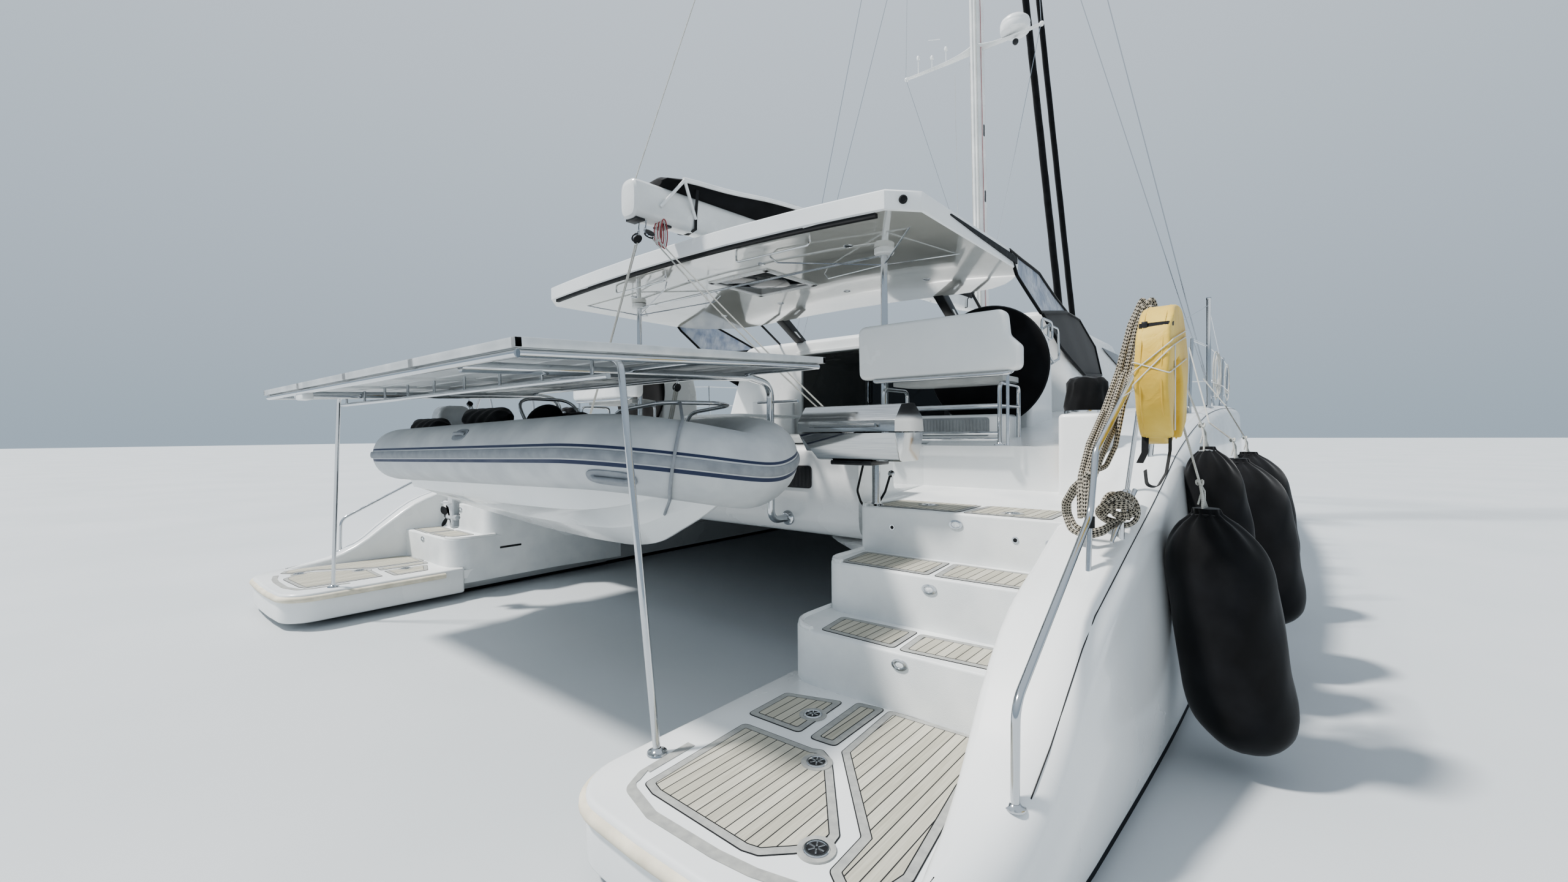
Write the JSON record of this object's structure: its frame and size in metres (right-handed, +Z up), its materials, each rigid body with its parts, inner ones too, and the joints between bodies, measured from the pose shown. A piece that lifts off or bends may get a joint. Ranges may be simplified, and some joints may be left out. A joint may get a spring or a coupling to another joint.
{
  "type": "sailing catamaran",
  "caption": "Cruising sailing catamaran afloat: twin hulls with stern steps, hardtop cockpit, mast and furled sails, solar array over a slung tender.",
  "frame": {"origin": "on the waterline, on the centreline, half way along the hulls", "axes": "+X to starboard, +Y forward, +Z up"},
  "size_m": [8.538, 17.97, 23.65],
  "materials": {
    "gelcoat": "polished white gelcoat on glass-fibre laminate",
    "painted_alloy": "white enamel on aluminium tube",
    "stainless": "polished stainless tube and sheet",
    "black_alloy": "black satin coated aluminium",
    "dark_cloth": "black woven acrylic cloth",
    "dark_glazing": "tinted cast acrylic",
    "solar_glass": "dark cells under glass in a white frame",
    "boat_fabric": "light grey coated fabric",
    "netting": "white knotless net and braided line",
    "yellow_cloth": "yellow coated cloth",
    "antifouling": "dark matt bottom paint",
    "bronze": "cast bronze"
  },
  "bodies": {
    "boat": {"hull_starboard": "gelcoat", "hull_port": "gelcoat", "bridgedeck": "gelcoat", "coachroof": "gelcoat", "saloon_windows": "dark_glazing", "hardtop": "gelcoat", "hardtop_posts": "stainless", "hardtop_brace_starboard": "black_alloy", "hardtop_brace_port": "black_alloy", "helm_seat_starboard": "gelcoat", "helm_seat_port": "gelcoat", "helm_seat_frame_starboard": "stainless", "helm_seat_frame_port": "stainless", "helm_console_starboard": "gelcoat", "helm_console_port": "gelcoat", "winch_pedestal_starboard": "gelcoat", "winch_pedestal_port": "gelcoat", "mast": "painted_alloy", "radar": "gelcoat", "genoa_furled": "dark_cloth", "code_sail_furled": "dark_cloth", "shrouds_starboard": "stainless", "shrouds_port": "stainless", "crossbeam": "black_alloy", "bowsprit": "painted_alloy", "trampoline_starboard": "netting", "trampoline_port": "netting", "guard_rail_starboard": "stainless", "guard_rail_port": "stainless", "stern_rail_starboard": "stainless", "stern_rail_port": "stainless", "solar_array": "solar_glass", "array_frame": "stainless", "tender_collar": "boat_fabric", "tender_hull": "gelcoat", "tender_fall_aft": "netting", "tender_fall_fore": "netting", "outboard_bracket": "black_alloy", "barbecue": "stainless", "lifebuoy": "yellow_cloth", "fender_1": "dark_cloth", "fender_2": "dark_cloth", "fender_3": "dark_cloth", "fender_4": "dark_cloth", "keel_starboard": "antifouling", "keel_port": "antifouling", "saildrive_starboard": "gelcoat", "saildrive_port": "gelcoat"},
    "boom": {"boom": "painted_alloy", "sail_bag": "dark_cloth"},
    "wheel_starboard": {"steering_wheel_starboard": "dark_cloth"},
    "wheel_port": {"steering_wheel_port": "dark_cloth"},
    "rudder_starboard": {"rudder_starboard": "antifouling"},
    "rudder_port": {"rudder_port": "antifouling"},
    "screw_starboard": {"propeller_starboard": "bronze"},
    "screw_port": {"propeller_port": "bronze"},
    "door": {"sliding_door": "black_alloy"},
    "grill_lid": {"barbecue_lid": "stainless"},
    "outboard": {"outboard": "gelcoat"},
    "outboard_screw": {"outboard_propeller": "black_alloy"}
  },
  "joints": [
    {"name": "boom_swing", "type": "hinge", "parent": "boat", "child": "boom", "pos_m": [0, 1.545, 4.02], "axis": [0, 0, 1], "range_deg": [-60, 60]},
    {"name": "wheel_starboard_turn", "type": "hinge", "parent": "boat", "child": "wheel_starboard", "pos_m": [2.42, -4.33, 2.265], "axis": [0, 1, 0], "range_deg": [-450, 450]},
    {"name": "wheel_port_turn", "type": "hinge", "parent": "boat", "child": "wheel_port", "pos_m": [-2.42, -4.33, 2.265], "axis": [0, 1, 0], "range_deg": [-450, 450]},
    {"name": "rudder_starboard_turn", "type": "hinge", "parent": "boat", "child": "rudder_starboard", "pos_m": [3.22, -6.9, -0.5], "axis": [0, 0, 1], "range_deg": [-35, 35]},
    {"name": "rudder_port_turn", "type": "hinge", "parent": "boat", "child": "rudder_port", "pos_m": [-3.22, -6.9, -0.5], "axis": [0, 0, 1], "range_deg": [-35, 35]},
    {"name": "screw_starboard_spin", "type": "hinge", "parent": "boat", "child": "screw_starboard", "pos_m": [3.22, -4.5055, -1.01], "axis": [0, 1, 0], "continuous": true},
    {"name": "screw_port_spin", "type": "hinge", "parent": "boat", "child": "screw_port", "pos_m": [-3.22, -4.5055, -1.01], "axis": [0, 1, 0], "continuous": true},
    {"name": "door_slide", "type": "slide", "parent": "boat", "child": "door", "axis": [-1, 0, 0], "range_m": [0, 1.15]},
    {"name": "grill_lid_open", "type": "hinge", "parent": "boat", "child": "grill_lid", "pos_m": [2.21, -5.918, 1.712], "axis": [-1, 0, 0], "range_deg": [0, 85]},
    {"name": "outboard_tilt", "type": "hinge", "parent": "boat", "child": "outboard", "pos_m": [-1.745, -7, 1.665], "axis": [0, 1, 0], "range_deg": [0, 65]},
    {"name": "outboard_screw_spin", "type": "hinge", "parent": "outboard", "child": "outboard_screw", "pos_m": [-1.9805, -7, 0.905], "axis": [1, 0, 0], "continuous": true}
  ],
  "couplings": [
    {"joint": "wheel_port_turn", "follows": "wheel_starboard_turn", "ratio": 1},
    {"joint": "rudder_starboard_turn", "follows": "wheel_starboard_turn", "ratio": 0.0777},
    {"joint": "rudder_port_turn", "follows": "wheel_starboard_turn", "ratio": 0.0777}
  ]
}
